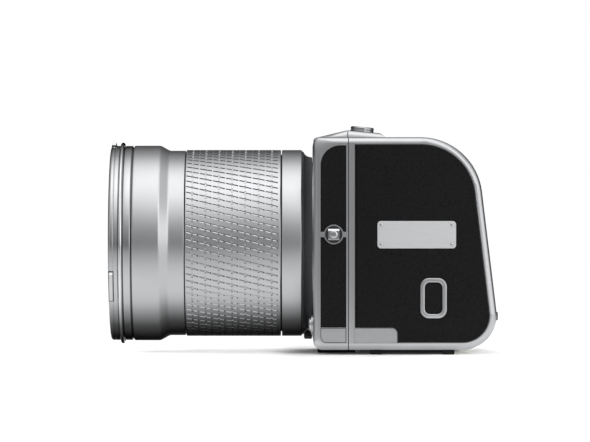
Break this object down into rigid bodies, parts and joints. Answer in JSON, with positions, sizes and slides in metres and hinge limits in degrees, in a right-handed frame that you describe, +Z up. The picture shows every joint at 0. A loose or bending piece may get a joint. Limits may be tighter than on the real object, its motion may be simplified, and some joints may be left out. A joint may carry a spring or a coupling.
{
  "type": "medium format digital camera",
  "caption": "Modular medium format camera: slim silver front module, leather-clad digital back with a side door and tilting screen, and a metal lens with a knurled focus ring.",
  "frame": {"origin": "mouth of the tripod socket under the front module, on the plane the camera stands on", "axes": "+Z up, -Y out of the lens, +Y towards the rear screen, +X the camera's own left side"},
  "size_m": [0.102, 0.1584, 0.0934],
  "materials": {
    "satin_aluminium": "satin anodised, fine blasted",
    "polished_steel": "polished",
    "bayonet_steel": "turned, satin",
    "plate_steel": "brushed",
    "leatherette": "fine pebble grain",
    "brushed_plate": "brushed",
    "black_metal": "black anodised",
    "black_plastic": "matte",
    "rubber": "matte",
    "lens_glass": "coated",
    "filter_glass": "clear",
    "screen_glass": "gloss black cover glass",
    "gold": "gold plated",
    "circuit_board": "solder mask",
    "sensor_ceramic": "dark package",
    "cast_bracket": "as cast",
    "battery_case": "dark case",
    "tinned_steel": "tinned sheet"
  },
  "bodies": {
    "front_module": {"front_frame": "satin_aluminium", "front_leather": "leatherette", "front_badge_plate": "satin_aluminium", "body_bayonet": "bayonet_steel", "bayonet_screws": "bayonet_steel", "body_contacts": "gold", "strap_lugs": "polished_steel", "tripod_plate": "plate_steel", "light_tunnel": "black_plastic", "front_board": "circuit_board"},
    "lens_release": {"lens_release_button": "satin_aluminium"},
    "scroll_wheel": {"front_wheel": "black_plastic"},
    "shutter_release": {"shutter_release_button": "satin_aluminium"},
    "digital_back": {"back_frame": "satin_aluminium", "right_leather": "leatherette", "back_badge_plate": "satin_aluminium", "sensor": "sensor_ceramic", "sensor_glass": "filter_glass", "sensor_bracket": "cast_bracket", "main_board": "circuit_board", "battery": "battery_case", "battery_bay": "black_plastic", "card_and_port_block": "tinned_steel", "rear_panel": "black_plastic", "hinge_pins": "polished_steel", "bottom_cover": "black_plastic", "back_feet": "rubber"},
    "back_lock": {"back_lock_button": "polished_steel"},
    "door": {"side_door": "black_metal", "door_leather": "leatherette", "nameplate": "brushed_plate", "latch_bezel": "satin_aluminium"},
    "door_latch": {"door_latch_button": "leatherette"},
    "display": {"display_frame": "black_plastic", "display_glass": "screen_glass"},
    "lens": {"lens_bayonet": "bayonet_steel", "rear_collar": "black_metal", "rear_ring": "satin_aluminium", "lens_barrel": "black_metal", "front_barrel": "satin_aluminium", "front_ring": "satin_aluminium", "hood_lock_ring": "polished_steel", "front_retainer": "black_metal", "front_element": "lens_glass", "rear_element": "lens_glass", "iris_housing": "black_metal"},
    "focus_sleeve": {"focus_ring": "satin_aluminium"},
    "focus_group": {"focus_cell": "black_metal", "focus_element": "lens_glass"},
    "iris_drive": {"iris_ring": "black_metal"},
    "menu_1": {"menu_button_1": "black_plastic"},
    "menu_2": {"menu_button_2": "black_plastic"},
    "menu_3": {"menu_button_3": "black_plastic"},
    "menu_4": {"menu_button_4": "black_plastic"},
    "menu_5": {"menu_button_5": "black_plastic"},
    "blade_1": {"iris_blade_1": "black_metal"},
    "blade_2": {"iris_blade_2": "black_metal"},
    "blade_3": {"iris_blade_3": "black_metal"},
    "blade_4": {"iris_blade_4": "black_metal"},
    "blade_5": {"iris_blade_5": "black_metal"}
  },
  "joints": [
    {"name": "lens_turn", "type": "hinge", "parent": "front_module", "child": "lens", "pos_m": [0, -0.00885, 0.045], "axis": [0, -1, 0], "range_deg": [0, 60]},
    {"name": "focus_turn", "type": "hinge", "parent": "lens", "child": "focus_sleeve", "pos_m": [0, -0.0398, 0.045], "axis": [0, -1, 0], "continuous": true},
    {"name": "focus_slide", "type": "slide", "parent": "lens", "child": "focus_group", "axis": [0, -1, 0], "range_m": [0, 0.004]},
    {"name": "iris_turn", "type": "hinge", "parent": "lens", "child": "iris_drive", "pos_m": [0, -0.0488, 0.045], "axis": [0, 1, 0], "range_deg": [0, 24]},
    {"name": "blade_1_turn", "type": "hinge", "parent": "lens", "child": "blade_1", "pos_m": [0.0293, -0.0453, 0.045], "axis": [0, 1, 0], "range_deg": [0, 26]},
    {"name": "blade_2_turn", "type": "hinge", "parent": "lens", "child": "blade_2", "pos_m": [0.00905, -0.0453, 0.01713], "axis": [0, 1, 0], "range_deg": [0, 26]},
    {"name": "blade_3_turn", "type": "hinge", "parent": "lens", "child": "blade_3", "pos_m": [-0.0237, -0.0453, 0.02778], "axis": [0, 1, 0], "range_deg": [0, 26]},
    {"name": "blade_4_turn", "type": "hinge", "parent": "lens", "child": "blade_4", "pos_m": [-0.0237, -0.0453, 0.06222], "axis": [0, 1, 0], "range_deg": [0, 26]},
    {"name": "blade_5_turn", "type": "hinge", "parent": "lens", "child": "blade_5", "pos_m": [0.00905, -0.0453, 0.07287], "axis": [0, 1, 0], "range_deg": [0, 26]},
    {"name": "lens_release_press", "type": "slide", "parent": "front_module", "child": "lens_release", "axis": [0, 1, 0], "range_m": [0, 0.0015], "stiffness_N_per_m": 800},
    {"name": "shutter_press", "type": "slide", "parent": "front_module", "child": "shutter_release", "axis": [0, 1, 0], "range_m": [0, 0.0012], "stiffness_N_per_m": 800},
    {"name": "wheel_turn", "type": "hinge", "parent": "front_module", "child": "scroll_wheel", "pos_m": [-0.034, -0.009, 0.0119], "axis": [0, -1, 0], "continuous": true},
    {"name": "back_tilt", "type": "hinge", "parent": "front_module", "child": "digital_back", "pos_m": [0, 0.01115, 0.001], "axis": [-1, 0, 0], "range_deg": [0, 20]},
    {"name": "back_lock_press", "type": "slide", "parent": "digital_back", "child": "back_lock", "axis": [0, -0.0912, -0.9958], "range_m": [0, 0.0008], "stiffness_N_per_m": 900},
    {"name": "door_swing", "type": "hinge", "parent": "digital_back", "child": "door", "pos_m": [0.044, 0.01105, 0.048], "axis": [0, 0, -1], "range_deg": [0, 95]},
    {"name": "latch_press", "type": "slide", "parent": "door", "child": "door_latch", "axis": [-1, 0, 0], "range_m": [0, 0.001], "stiffness_N_per_m": 600},
    {"name": "display_tilt", "type": "hinge", "parent": "digital_back", "child": "display", "pos_m": [0, 0.05836, 0.065], "axis": [1, 0, 0], "range_deg": [0, 90]},
    {"name": "menu_1_press", "type": "slide", "parent": "digital_back", "child": "menu_1", "axis": [0, -1, 0], "range_m": [0, 0.0006], "stiffness_N_per_m": 1200},
    {"name": "menu_2_press", "type": "slide", "parent": "digital_back", "child": "menu_2", "axis": [0, -1, 0], "range_m": [0, 0.0006], "stiffness_N_per_m": 1200},
    {"name": "menu_3_press", "type": "slide", "parent": "digital_back", "child": "menu_3", "axis": [0, -1, 0], "range_m": [0, 0.0006], "stiffness_N_per_m": 1200},
    {"name": "menu_4_press", "type": "slide", "parent": "digital_back", "child": "menu_4", "axis": [0, -1, 0], "range_m": [0, 0.0006], "stiffness_N_per_m": 1200},
    {"name": "menu_5_press", "type": "slide", "parent": "digital_back", "child": "menu_5", "axis": [0, -1, 0], "range_m": [0, 0.0006], "stiffness_N_per_m": 1200}
  ],
  "couplings": [
    {"joint": "blade_1_turn", "follows": "iris_turn", "ratio": 1},
    {"joint": "blade_2_turn", "follows": "iris_turn", "ratio": 1},
    {"joint": "blade_3_turn", "follows": "iris_turn", "ratio": 1},
    {"joint": "blade_4_turn", "follows": "iris_turn", "ratio": 1},
    {"joint": "blade_5_turn", "follows": "iris_turn", "ratio": 1}
  ]
}
